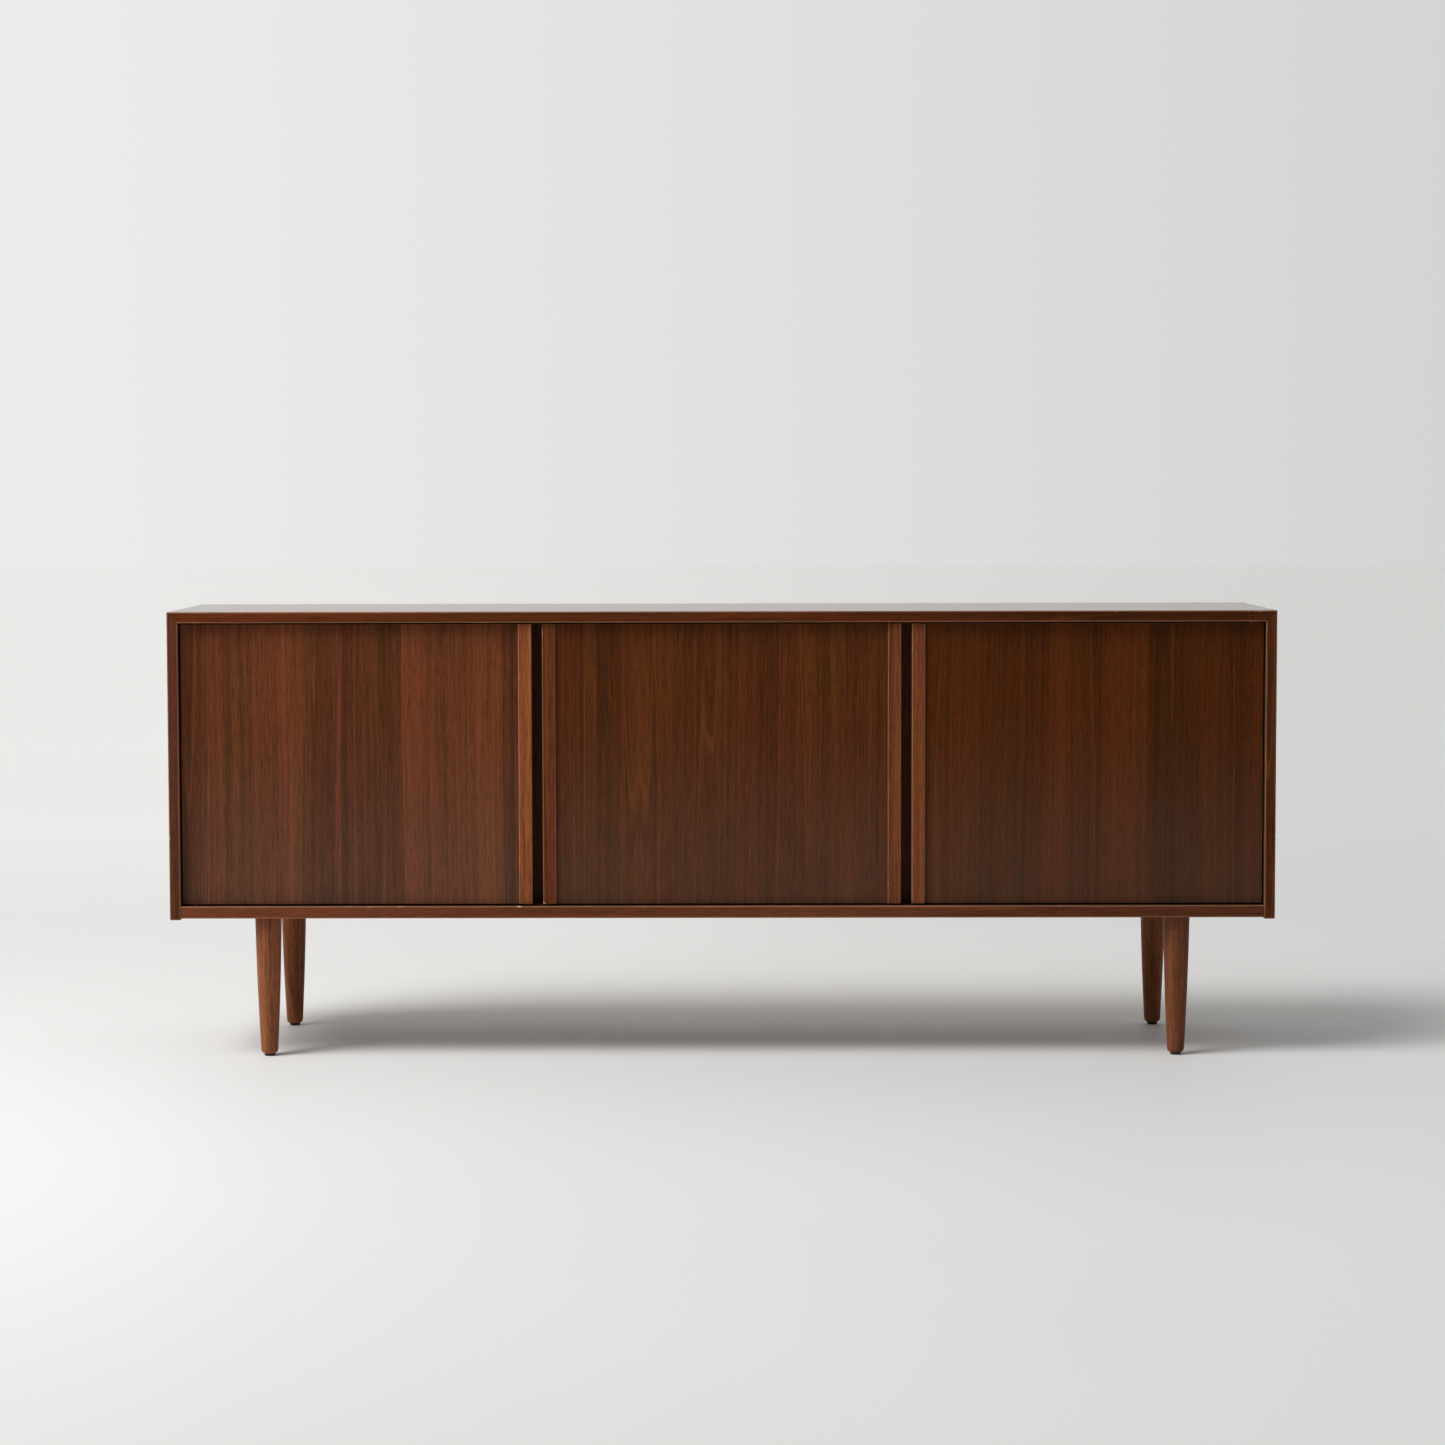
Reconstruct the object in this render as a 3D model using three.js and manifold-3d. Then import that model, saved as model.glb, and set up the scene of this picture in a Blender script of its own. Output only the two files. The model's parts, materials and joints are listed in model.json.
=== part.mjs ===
// A long, low sideboard on four turned legs: a mitred case with three hinged doors,
// two partitions, three shelves and knife hinges at the top and bottom of each door.
// Millimetres, +Z up. The origin is on the floor under the middle of the case,
// +X runs to the right along the front, and the doors face -Y.

import * as THREE from 'three';
import { mergeVertices } from 'three/addons/utils/BufferGeometryUtils.js';
import Module from 'manifold-3d';

const wasm = await Module();
wasm.setup();

// ---- driving dimensions ----

const width = 2000;
const depth = 440;
const height = 810;
const board = 20; // top and side boards
const baseBoard = 22; // bottom board
const baseHeight = 252; // lower ends of the side boards
const sideDrop = 3; // how far the sides stand below the bottom board
const glueGap = 0.3; // left between two faces that touch
const past = 1; // how far a cutter runs past the face it opens

const backBoard = 6;
const backInset = 1; // back board inside the rear edges of the case
const rebate = 10; // width of the rebate that holds the back
const housing = 5; // depth of the grooves that hold boards

const partitionThickness = 20;
const partitionSetback = 12; // behind the backs of the doors
const shelfThickness = 16;
const shelfSetback = 22; // behind the backs of the doors
const shelfHeight = 522; // underside of the shelves

const doorThickness = 18;
const doorRecess = 15; // door face behind the front of the case
const doorClearance = 2.6; // above and below each door
const jambClearance = 2.2; // between an outer door and its side board
const centreDoorWidth = 648;
const fingerGap = 19.4;
const pivotInset = 22; // hinge pivot from the hinged edge
const pullWidth = 24;
const pullProud = 6;

const leafWidth = 13;
const leafReach = 50; // pivot to the middle of the leaf's far end
const leafThickness = 2.5;
const pinRadius = 3;
const pinHoleRadius = 3.2;
const pinReach = 2; // hinge pin past the leaf on the door

const legX = 826;
const legY = 184;
const legTopRadius = 24;
const legFootRadius = 15.5;
const legSwell = 1.1; // entasis at mid height
const legChamfer = 7;
const glideHeight = 4;
const glideRadius = 10;
const boltRadius = 4;

// sides to a full turn
const legSides = 24;
const ringSides = 16;
const pinSides = 12;
const holeSides = 10;
const halfRoundSides = 6; // sides to a half turn, at the ends of a hinge leaf

// ---- places worked out from them ----

const innerX = width / 2 - board;
const front = -depth / 2;
const back = depth / 2;
const topUnderside = height - board;
const baseUnderside = baseHeight + sideDrop;
const baseTop = baseUnderside + baseBoard;
const doorFace = front + doorRecess;
const doorBack = doorFace + doorThickness;
const doorBottom = baseTop + doorClearance;
const doorTop = topUnderside - doorClearance;
const pivotY = doorFace + doorThickness / 2;
const partitionX = centreDoorWidth / 2 + fingerGap / 2;
const partitionFront = doorBack + partitionSetback;
const backFront = back - backBoard - backInset; // front face of the back board
const sideDoorWidth = innerX - jambClearance - centreDoorWidth / 2 - fingerGap;
const legTop = baseUnderside - glueGap;
const shelfFront = doorBack + shelfSetback;

// ---- materials ----

function finish(color, roughness, metalness = 0) {
  return new THREE.MeshStandardMaterial({ color, roughness, metalness });
}

const materials = {
  caseVeneer: finish(0x5f3320, 0.42),
  doorVeneer: finish(0x5a3019, 0.45),
  solidWood: finish(0x7a4429, 0.42),
  innerVeneer: finish(0x8a5a38, 0.6),
  plywood: finish(0x9b7650, 0.75),
  brass: finish(0xb08d4c, 0.35, 1),
  steel: finish(0x8d8f92, 0.4, 1),
  magnet: finish(0x4a3527, 0.55),
  glide: finish(0x1d1a18, 0.6),
};

// ---- shape helpers ----

function inOrder(first, second) {
  return first < second ? [first, second] : [second, first];
}

// A box between two corners.
function block(low, high) {
  const size = high.map((value, i) => value - low[i]);
  const geometry = new THREE.BoxGeometry(...size);
  return geometry.translate(...low.map((value, i) => value + size[i] / 2));
}

// A plan outline (x, y) raised from one height to another.
function raise(outline, low, high) {
  const geometry = new THREE.ExtrudeGeometry(outline, {
    depth: high - low,
    bevelEnabled: false,
    curveSegments: halfRoundSides,
  });
  return geometry.translate(0, 0, low);
}

// A front outline (x, z) carried from one depth to another.
function carry(outline, near, far) {
  const geometry = raise(outline, -far, -near);
  return geometry.rotateX(Math.PI / 2);
}

function outlineOf(points) {
  return new THREE.Shape(points.map(([x, y]) => new THREE.Vector2(x, y)));
}

// A profile of (radius, height) points turned about the Z axis.
function turn(points, sides) {
  const profile = points.map(([radius, z]) => new THREE.Vector2(radius, z));
  return new THREE.LatheGeometry(profile, sides).rotateX(Math.PI / 2);
}

function cylinder(radius, low, high, sides = pinSides) {
  return turn([[0, low], [radius, low], [radius, high], [0, high]], sides);
}

function toSolid(geometry) {
  const bare = geometry.clone();
  bare.deleteAttribute('normal');
  bare.deleteAttribute('uv');
  const merged = mergeVertices(bare, 1e-4);
  return new wasm.Manifold(new wasm.Mesh({
    numProp: 3,
    vertProperties: new Float32Array(merged.attributes.position.array),
    triVerts: new Uint32Array(merged.index.array),
  }));
}

function toGeometry(solid) {
  const { vertProperties, triVerts } = solid.getMesh();
  const geometry = new THREE.BufferGeometry();
  geometry.setAttribute('position', new THREE.BufferAttribute(vertProperties, 3));
  geometry.setIndex(new THREE.BufferAttribute(triVerts, 1));
  return geometry;
}

// The first geometry with all the others cut out of it.
function carve(geometry, cutters) {
  const cut = cutters.reduce((solid, cutter) => solid.subtract(toSolid(cutter)), toSolid(geometry));
  return toGeometry(cut);
}

function join(first, second) {
  return toGeometry(toSolid(first).add(toSolid(second)));
}

function moved(geometry, x, y, z) {
  return geometry.translate(x, y, z);
}

function addPiece(group, name, geometry, material, position = [0, 0, 0]) {
  const mesh = new THREE.Mesh(geometry, material);
  mesh.name = name;
  mesh.position.set(...position);
  group.add(mesh);
  return mesh;
}

// ---- hinges ----

// `reach` is +1 where the door runs to +X from its pivot, and -1 where it runs to -X.
const doors = [
  { name: 'left', pivotX: -(innerX - jambClearance - pivotInset), reach: 1, width: sideDoorWidth },
  { name: 'centre', pivotX: centreDoorWidth / 2 - pivotInset, reach: -1, width: centreDoorWidth },
  { name: 'right', pivotX: innerX - jambClearance - pivotInset, reach: -1, width: sideDoorWidth },
];

// Plan of a hinge leaf: a bar with round ends, the first one centred on the pivot.
function leafOutline(reach, margin = 0) {
  const radius = leafWidth / 2 + margin;
  const ends = reach > 0 ? [0, leafReach] : [-leafReach, 0];
  const outline = new THREE.Shape();
  outline.absarc(ends[1], 0, radius, -Math.PI / 2, Math.PI / 2, false);
  outline.absarc(ends[0], 0, radius, Math.PI / 2, (3 * Math.PI) / 2, false);
  return outline;
}

// The pocket for one leaf, sunk below or above a face at height `face`.
// `into` is +1 where the pocket goes up into the wood and -1 where it goes down.
function leafPocket(reach, face, into) {
  const heights = inOrder(face - into * past, face + into * (leafThickness + glueGap));
  return raise(leafOutline(reach, glueGap), ...heights);
}

// The leaf on the case, flush with its face, with a pin that crosses to the door.
function caseLeaf(reach, into) {
  const plate = raise(leafOutline(reach), ...inOrder(0, into * leafThickness));
  const pinRoot = into * leafThickness / 2;
  const pinEnd = -into * (doorClearance + leafThickness + pinReach);
  return join(plate, cylinder(pinRadius, ...inOrder(pinRoot, pinEnd)));
}

// The leaf on the door, with the hole that the pin turns in.
function doorLeaf(reach, into) {
  const plate = raise(leafOutline(reach), ...inOrder(0, into * leafThickness));
  return carve(plate, [cylinder(pinHoleRadius, -leafThickness - past, leafThickness + past)]);
}

function addCaseLeaves(group) {
  for (const { name, pivotX, reach } of doors) {
    const top = [pivotX, pivotY, topUnderside];
    const bottom = [pivotX, pivotY, baseTop];
    addPiece(group, `${name}_top_case_leaf`, caseLeaf(reach, 1), materials.brass, top);
    addPiece(group, `${name}_bottom_case_leaf`, caseLeaf(reach, -1), materials.brass, bottom);
  }
}

// The pockets that all three doors need in one case board.
function caseLeafPockets(face, into) {
  return doors.map(({ pivotX, reach }) => moved(leafPocket(reach, 0, into), pivotX, pivotY, face));
}

// ---- case ----

// Grooves that hold both partitions, opening on a face at height `face`.
function partitionGrooves(face, into) {
  const half = partitionThickness / 2 + glueGap;
  const heights = inOrder(face - into * past, face + into * housing);
  return [-1, 1].map((side) => block(
    [side * partitionX - half, partitionFront - glueGap, heights[0]],
    [side * partitionX + half, back + past, heights[1]],
  ));
}

function addTop(group) {
  const outline = outlineOf([
    [-innerX, topUnderside],
    [innerX, topUnderside],
    [width / 2, height],
    [-width / 2, height],
  ]);
  const cutters = [
    block([-width, backFront - glueGap, 0], [width, back + past, topUnderside + rebate]),
    ...partitionGrooves(topUnderside, 1),
    ...caseLeafPockets(topUnderside, 1),
  ];
  addPiece(group, 'top_panel', carve(carry(outline, front, back), cutters), materials.caseVeneer);
}

// Blind holes for shelf pins, in two columns, on a face whose inside is towards `into`.
const shelfPinRadius = 2.5;
const shelfPinDepth = 9;
const pinHoleSpacing = 64;
const pinFromFront = 60; // front column behind the front of the shelf
const pinFromBack = 70; // back column in front of the back board
const pinColumns = [shelfFront + pinFromFront, backFront - pinFromBack];
const pinCentre = shelfHeight - shelfPinRadius - glueGap;
const pinHoleHeights = [-1, 0, 1].map((step) => pinCentre + step * pinHoleSpacing);

function pinHoles(face, into) {
  const radius = shelfPinRadius + glueGap;
  const hole = cylinder(radius, -past, shelfPinDepth + glueGap, holeSides);
  hole.rotateY((into * Math.PI) / 2);
  return pinColumns.flatMap((y) => pinHoleHeights.map((z) => moved(hole.clone(), face, y, z)));
}

// The mitre's face stands back from the top board's by the glue gap.
function addSide(group, name, side) {
  const relief = glueGap * Math.SQRT2;
  const outline = outlineOf([
    [side * innerX, baseHeight],
    [side * innerX, topUnderside - relief],
    [(side * width) / 2, height - relief],
    [(side * width) / 2, baseHeight],
  ]);
  const rebateX = inOrder(side * (innerX - past), side * (innerX + rebate));
  const grooveX = inOrder(side * (innerX - past), side * (innerX + housing));
  const cutters = [
    block([rebateX[0], backFront - glueGap, baseUnderside], [rebateX[1], back + past, height]),
    block([grooveX[0], doorBack, baseUnderside - glueGap], [grooveX[1], back + past, baseTop + glueGap]),
    ...pinHoles(side * innerX, side),
  ];
  addPiece(group, name, carve(carry(outline, front, back), cutters), materials.caseVeneer);
}

// The bottom board fills the case between the sides and has a tongue in each of them,
// which stops behind the doors.
function addBottom(group) {
  const shoulder = innerX - glueGap;
  const tongue = innerX + housing - glueGap;
  const nose = doorBack + glueGap;
  const outline = outlineOf([
    [-shoulder, front],
    [shoulder, front],
    [shoulder, nose],
    [tongue, nose],
    [tongue, back],
    [-tongue, back],
    [-tongue, nose],
    [-shoulder, nose],
  ]);
  const cutters = [
    block([-width, backFront - glueGap, baseTop - rebate], [width, back + past, baseTop + past]),
    ...partitionGrooves(baseTop, -1),
    ...caseLeafPockets(baseTop, -1),
    ...legPlaces.map(({ x, y }) => moved(socketHole(), x, y, baseUnderside)),
  ];
  const panel = carve(raise(outline, baseUnderside, baseTop), cutters);
  addPiece(group, 'bottom_panel', panel, materials.caseVeneer);
}

function addBack(group) {
  const reach = innerX + rebate - glueGap;
  const low = [-reach, backFront, baseTop - rebate + glueGap];
  const high = [reach, backFront + backBoard, topUnderside + rebate - glueGap];
  addPiece(group, 'back_panel', block(low, high), materials.plywood);
}

// A partition stands in grooves in the top and bottom boards. Its outer face is bored
// for shelf pins, and its inner face is grooved for the centre shelf.
function addPartition(group, name, side) {
  const x = side * partitionX;
  const half = partitionThickness / 2;
  const grow = housing - glueGap;
  const body = block(
    [x - half, partitionFront, baseTop - grow],
    [x + half, backFront - glueGap, topUnderside + grow],
  );
  const grooveX = inOrder(x - side * (half + past), x - side * (half - housing));
  const groove = block(
    [grooveX[0], shelfFront - glueGap, shelfHeight - glueGap],
    [grooveX[1], back, shelfHeight + shelfThickness + glueGap],
  );
  const cutters = [groove, ...pinHoles(x + side * half, -side)];
  addPiece(group, name, carve(body, cutters), materials.innerVeneer);
}

// ---- shelves ----

const shelfEndGap = 2;

function addShelves(group) {
  const low = shelfHeight;
  const high = shelfHeight + shelfThickness;
  const outer = innerX - shelfEndGap;
  const inner = partitionX + partitionThickness / 2 + shelfEndGap;
  const rear = backFront - shelfEndGap;
  for (const [name, side] of [['left', -1], ['right', 1]]) {
    const ends = inOrder(side * outer, side * inner);
    const shelf = block([ends[0], shelfFront, low], [ends[1], rear, high]);
    addPiece(group, `${name}_shelf`, shelf, materials.innerVeneer);
  }
  const half = partitionX - partitionThickness / 2 + housing - glueGap;
  const centre = block([-half, shelfFront, low], [half, rear, high]);
  addPiece(group, 'centre_shelf', centre, materials.innerVeneer);
}

// A turned pin with a collar against the wall. It points along +X from the wall.
function shelfPin() {
  const collarRadius = 4;
  const collar = 1.4;
  const reach = 8;
  return turn([
    [0, -shelfPinDepth],
    [shelfPinRadius, -shelfPinDepth],
    [shelfPinRadius, glueGap],
    [collarRadius, glueGap],
    [collarRadius, collar],
    [shelfPinRadius, collar],
    [shelfPinRadius, reach],
    [0, reach],
  ], holeSides).rotateY(Math.PI / 2);
}

function addShelfPins(group) {
  for (const [name, side] of [['left', -1], ['right', 1]]) {
    const walls = [
      { x: side * innerX, inward: -side },
      { x: side * (partitionX + partitionThickness / 2), inward: side },
    ];
    let number = 1;
    for (const { x, inward } of walls) {
      for (const y of pinColumns) {
        const place = [x, y, pinCentre];
        const pin = addPiece(group, `${name}_shelf_pin_${number}`, shelfPin(), materials.brass, place);
        pin.rotation.z = inward > 0 ? 0 : Math.PI;
        number += 1;
      }
    }
  }
}

// ---- legs ----

const legPlaces = [
  { name: 'front_left', x: -legX, y: -legY },
  { name: 'front_right', x: legX, y: -legY },
  { name: 'back_left', x: -legX, y: legY },
  { name: 'back_right', x: legX, y: legY },
];
const legBottom = glideHeight + glueGap;
const legFootRounding = 1.4; // how much the chamfer narrows before it turns under the foot
const legFootLand = 1; // flat ring of the foot outside the glide
const legBoreDepth = 40;
const boltEndGap = 2;
const glideChamfer = 1.2;
const glidePinRadius = 2;
const glidePinLength = 14;
const socketFlange = { radius: 17, thickness: 2 };
const socketBarrel = { radius: 7, length: 16 };

// Tapered, with a slight swell, a turned chamfer at the foot and a bore at each end.
function legGeometry() {
  const steps = 4;
  const bulk = legTop - legBottom - legChamfer;
  const outside = [];
  for (let i = 0; i <= steps; i += 1) {
    const t = i / steps;
    const straight = legFootRadius + (legTopRadius - legFootRadius) * t;
    outside.push([straight + legSwell * Math.sin(Math.PI * t), legBottom + legChamfer + bulk * t]);
  }
  const boltBore = boltRadius + glueGap;
  const glideBore = glidePinRadius + glueGap;
  return turn([
    [0, legBottom + glidePinLength],
    [glideBore, legBottom + glidePinLength],
    [glideBore, legBottom],
    [glideRadius + legFootLand, legBottom],
    [legFootRadius - legFootRounding, legBottom + legChamfer / 3],
    ...outside,
    [boltBore, legTop],
    [boltBore, legTop - legBoreDepth],
    [0, legTop - legBoreDepth],
  ], legSides);
}

function glideGeometry() {
  return turn([
    [0, 0],
    [glideRadius - glideChamfer, 0],
    [glideRadius, glideChamfer],
    [glideRadius, glideHeight],
    [glidePinRadius, glideHeight],
    [glidePinRadius, glidePinLength],
    [0, glidePinLength],
  ], ringSides);
}

// A threaded socket: a flange flush with the underside and a barrel up into the board.
function socketGeometry() {
  const bore = boltRadius + glueGap;
  return turn([
    [bore, 0],
    [socketFlange.radius, 0],
    [socketFlange.radius, socketFlange.thickness],
    [socketBarrel.radius, socketFlange.thickness],
    [socketBarrel.radius, socketBarrel.length],
    [bore, socketBarrel.length],
    [bore, 0],
  ], ringSides);
}

function socketHole() {
  return turn([
    [0, -past],
    [socketFlange.radius + glueGap, -past],
    [socketFlange.radius + glueGap, socketFlange.thickness + glueGap],
    [socketBarrel.radius + glueGap, socketFlange.thickness + glueGap],
    [socketBarrel.radius + glueGap, socketBarrel.length + glueGap],
    [0, socketBarrel.length + glueGap],
  ], ringSides);
}

function addLegs(group) {
  const boltLow = legTop - legBoreDepth + boltEndGap;
  const boltHigh = baseUnderside + socketBarrel.length - boltEndGap;
  for (const { name, x, y } of legPlaces) {
    const bolt = cylinder(boltRadius, boltLow, boltHigh);
    addPiece(group, `leg_${name}`, legGeometry(), materials.solidWood, [x, y, 0]);
    addPiece(group, `glide_${name}`, glideGeometry(), materials.glide, [x, y, 0]);
    addPiece(group, `leg_socket_${name}`, socketGeometry(), materials.steel, [x, y, baseUnderside]);
    addPiece(group, `leg_bolt_${name}`, bolt, materials.steel, [x, y, 0]);
  }
}

// ---- doors ----

const strike = { width: 40, height: 12, thickness: 1, inset: 1 };
const catchSize = { width: 46, depth: 13, height: 11 };
const catchInset = 52; // middle of the catch from the door's free edge
const catchGap = 0.5; // air between the closed strike and its magnet

// Plan of a pull: a square strip, proud of the door face, with a finger cove on the
// side away from the door. `outward` is the X direction that the cove faces.
function pullOutline(outward) {
  const coveRadius = 9;
  const coveDepth = 5;
  const coveY = doorThickness / 2;
  const half = Math.sqrt(coveRadius ** 2 - (coveRadius - coveDepth) ** 2);
  const bend = Math.asin(half / coveRadius);
  const steps = 6;
  const points = [[0, -pullProud], [pullWidth, -pullProud]];
  for (let i = 0; i <= steps; i += 1) {
    const angle = -bend + (2 * bend * i) / steps;
    const u = pullWidth + coveRadius - coveDepth - coveRadius * Math.cos(angle);
    points.push([u, coveY + coveRadius * Math.sin(angle)]);
  }
  points.push([pullWidth, doorThickness], [0, doorThickness]);
  return outlineOf(points.map(([u, y]) => [outward * u, y]));
}

// A door is built about its own pivot: x = 0 and z = 0 on the pivot at floor level,
// y = 0 in the middle of the door's thickness.
function addDoor(parent, { name, pivotX, reach, width: doorWidth }) {
  const group = new THREE.Group();
  group.position.set(pivotX, pivotY, 0);
  parent.add(group);

  const hingedEdge = -reach * pivotInset;
  const freeEdge = hingedEdge + reach * doorWidth;
  const face = -doorThickness / 2;
  const pullOnHingedEdge = name === 'centre';
  const from = hingedEdge + (pullOnHingedEdge ? reach * (pullWidth + glueGap) : 0);
  const to = freeEdge - reach * (pullWidth + glueGap);
  const panelX = inOrder(from, to);
  const panel = block([panelX[0], face, doorBottom], [panelX[1], -face, doorTop]);
  const pinWell = leafThickness + 2 * pinReach;
  const cutters = [
    leafPocket(reach, doorTop, -1),
    leafPocket(reach, doorBottom, 1),
    cylinder(pinHoleRadius + glueGap, doorTop - pinWell, doorTop + past),
    cylinder(pinHoleRadius + glueGap, doorBottom - past, doorBottom + pinWell),
  ];
  addPiece(group, `${name}_door_panel`, carve(panel, cutters), materials.doorVeneer);
  addPull(group, pullName(name, reach), freeEdge, reach, cutters);
  if (pullOnHingedEdge) addPull(group, pullName(name, -reach), hingedEdge, -reach, cutters);

  const leafHeights = { top: [doorTop, -1], bottom: [doorBottom, 1] };
  for (const [end, [z, into]] of Object.entries(leafHeights)) {
    addPiece(group, `${name}_${end}_door_leaf`, doorLeaf(reach, into), materials.brass, [0, 0, z]);
  }

  const strikeX = freeEdge - reach * catchInset;
  const strikeTop = doorTop - strike.inset;
  const low = [strikeX - strike.width / 2, -face + glueGap, strikeTop - strike.height];
  const high = [strikeX + strike.width / 2, -face + glueGap + strike.thickness, strikeTop];
  addPiece(group, `${name}_strike_plate`, block(low, high), materials.steel);
}

function pullName(doorName, outward) {
  if (doorName !== 'centre') return `${doorName}_door_pull`;
  return `centre_door_${outward > 0 ? 'right' : 'left'}_pull`;
}

function addPull(group, name, edge, outward, cutters) {
  const strip = raise(pullOutline(outward), doorBottom, doorTop);
  moved(strip, edge - outward * pullWidth, -doorThickness / 2, 0);
  addPiece(group, name, carve(strip, cutters), materials.solidWood);
}

function addCatches(group) {
  const near = doorBack + glueGap + strike.thickness + catchGap;
  for (const { name, pivotX, reach, width: doorWidth } of doors) {
    const x = pivotX + reach * (doorWidth - pivotInset - catchInset);
    const low = [x - catchSize.width / 2, near, topUnderside - glueGap - catchSize.height];
    const high = [x + catchSize.width / 2, near + catchSize.depth, topUnderside - glueGap];
    addPiece(group, `${name}_catch`, block(low, high), materials.magnet);
  }
}

// ---- the whole sideboard ----

const sideboard = new THREE.Group();
const carcass = new THREE.Group();
sideboard.add(carcass);

addTop(carcass);
addSide(carcass, 'left_side_panel', -1);
addSide(carcass, 'right_side_panel', 1);
addBottom(carcass);
addBack(carcass);
addPartition(carcass, 'left_partition', -1);
addPartition(carcass, 'right_partition', 1);
addShelves(carcass);
addShelfPins(carcass);
addLegs(carcass);
addCaseLeaves(carcass);
addCatches(carcass);
for (const door of doors) addDoor(sideboard, door);

export default sideboard;
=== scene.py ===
"""The looks of a long, low sideboard: veneered case, three inset doors with lip pulls,
turned legs, knife hinges and magnetic catches. Metres, +Z up, doors face -Y."""

import json
import math

import bmesh
import bpy
from mathutils import Matrix, Vector


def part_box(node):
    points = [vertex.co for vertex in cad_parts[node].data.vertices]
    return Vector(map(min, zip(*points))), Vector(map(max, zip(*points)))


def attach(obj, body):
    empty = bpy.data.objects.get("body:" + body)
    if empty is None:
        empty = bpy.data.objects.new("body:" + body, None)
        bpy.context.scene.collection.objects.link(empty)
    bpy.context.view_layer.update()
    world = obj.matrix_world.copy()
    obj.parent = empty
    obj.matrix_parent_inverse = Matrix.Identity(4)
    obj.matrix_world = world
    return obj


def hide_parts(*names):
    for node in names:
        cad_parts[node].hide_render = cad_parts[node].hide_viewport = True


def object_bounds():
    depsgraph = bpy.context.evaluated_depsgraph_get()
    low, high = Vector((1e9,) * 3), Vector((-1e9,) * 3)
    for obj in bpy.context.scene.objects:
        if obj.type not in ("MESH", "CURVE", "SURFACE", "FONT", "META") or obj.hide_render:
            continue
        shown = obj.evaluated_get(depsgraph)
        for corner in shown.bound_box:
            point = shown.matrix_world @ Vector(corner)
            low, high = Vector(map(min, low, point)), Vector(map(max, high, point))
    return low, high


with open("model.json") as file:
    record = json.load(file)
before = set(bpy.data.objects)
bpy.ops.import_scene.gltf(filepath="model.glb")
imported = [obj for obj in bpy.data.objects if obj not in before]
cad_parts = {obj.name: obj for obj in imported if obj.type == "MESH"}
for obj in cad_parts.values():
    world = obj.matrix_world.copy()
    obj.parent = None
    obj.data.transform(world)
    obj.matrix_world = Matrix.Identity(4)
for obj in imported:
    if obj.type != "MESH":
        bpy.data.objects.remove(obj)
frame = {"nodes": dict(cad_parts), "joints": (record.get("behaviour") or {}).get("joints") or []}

CAD_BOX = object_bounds()

# ---- camera and light ----

CAMERA_PLACE = (0.0309, -6.6174, 1.0325)
CAMERA_LENS = 88.59
CAMERA_PITCH = 3.783  # degrees below the horizon
CAMERA_TURN = 0.263  # degrees to the left
CAMERA_ROLL = 0.117  # degrees clockwise

LIGHT_TARGET = Vector((0, -0.2, 0.5))
KEY_WAY = (66, 42)  # degrees to the left of the sideboard's front, and above the floor
KEY_DISTANCE = 4.0
KEY_SIZE = 2.2
KEY_POWER = 92
SUN_WAY = (56, 53)
SUN_POWER = 1.05
SUN_SPREAD = 26  # degrees
WORLD_ABOVE = (0.33, 0.33, 0.325)  # overhead
WORLD_LEFT = (0.90, 0.90, 0.89)  # level with the floor, behind the sideboard
WORLD_RIGHT = (0.60, 0.60, 0.585)
WORLD_BEFORE = (0.07, 0.07, 0.07)  # and on the camera's side
FLOOR_NEAR = (0.835, 0.835, 0.825, 1)
FLOOR_FAR = (0.93, 0.93, 0.915, 1)
FLOOR_GLOW = (0.22, 0.06)  # behind the sideboard, to blend with the pale sky: left, right
FLOOR_RADIUS = 40

# ---- sizes of what the CAD leaves to the looks ----

ARRIS = 0.0011  # width of a rounded edge
BOARD_ARRIS = 0.0022
PULL_ARRIS = 0.0016
SMALL_ARRIS = 0.0004
ARRIS_STEPS = 3
SQUARE_SLACK = 0.2  # radians that an edge may be off square and still be rounded
WELD = 0.00002

LEG_SIDES = 72
LEG_STEPS = 16
FOOT_SHARE = 0.646  # radius of a leg's foot, as a share of its top
LEG_SWELL = 0.0011
FOOT_CHAMFER = 0.007
LEG_ROUNDING = 0.0009
GLIDE_SIDES = 40
GLIDE_LIP = 0.004
GLIDE_STEM = 0.002
GLIDE_ROUNDING = 0.0011

BOARD_LEAF = 0.148  # width of a leaf of veneer
DOOR_LEAF = 0.177
DOOR_LEAF_START = 0.048  # from a door's left edge to the first joint between leaves
RUB_REACH = 0.0052
CHIP_REACH = 0.0055

HEAD_SUNK = 0.0002  # how deep a screw head stands in the face
SLOT_FLOOR = 0.00012
HEAD_TOP = 0.00042
HINGE_SCREW = 0.0031  # radius of the head
STRIKE_SCREW = 0.0022
CATCH_SCREW = 0.0024
BACK_SCREW = 0.0032
LEAF_SCREW_SHARES = (0.42, 0.80)  # of the way from the pivot to the end of a hinge leaf
STRIKE_SCREW_STEP = 0.014  # from the middle of the plate
CATCH_SCREW_STEP = 0.017
BACK_SCREW_INSET = 0.006
BACK_SCREW_COLUMNS = 9
BACK_SCREW_ROWS = 4


# ---- shader building ----


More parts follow.
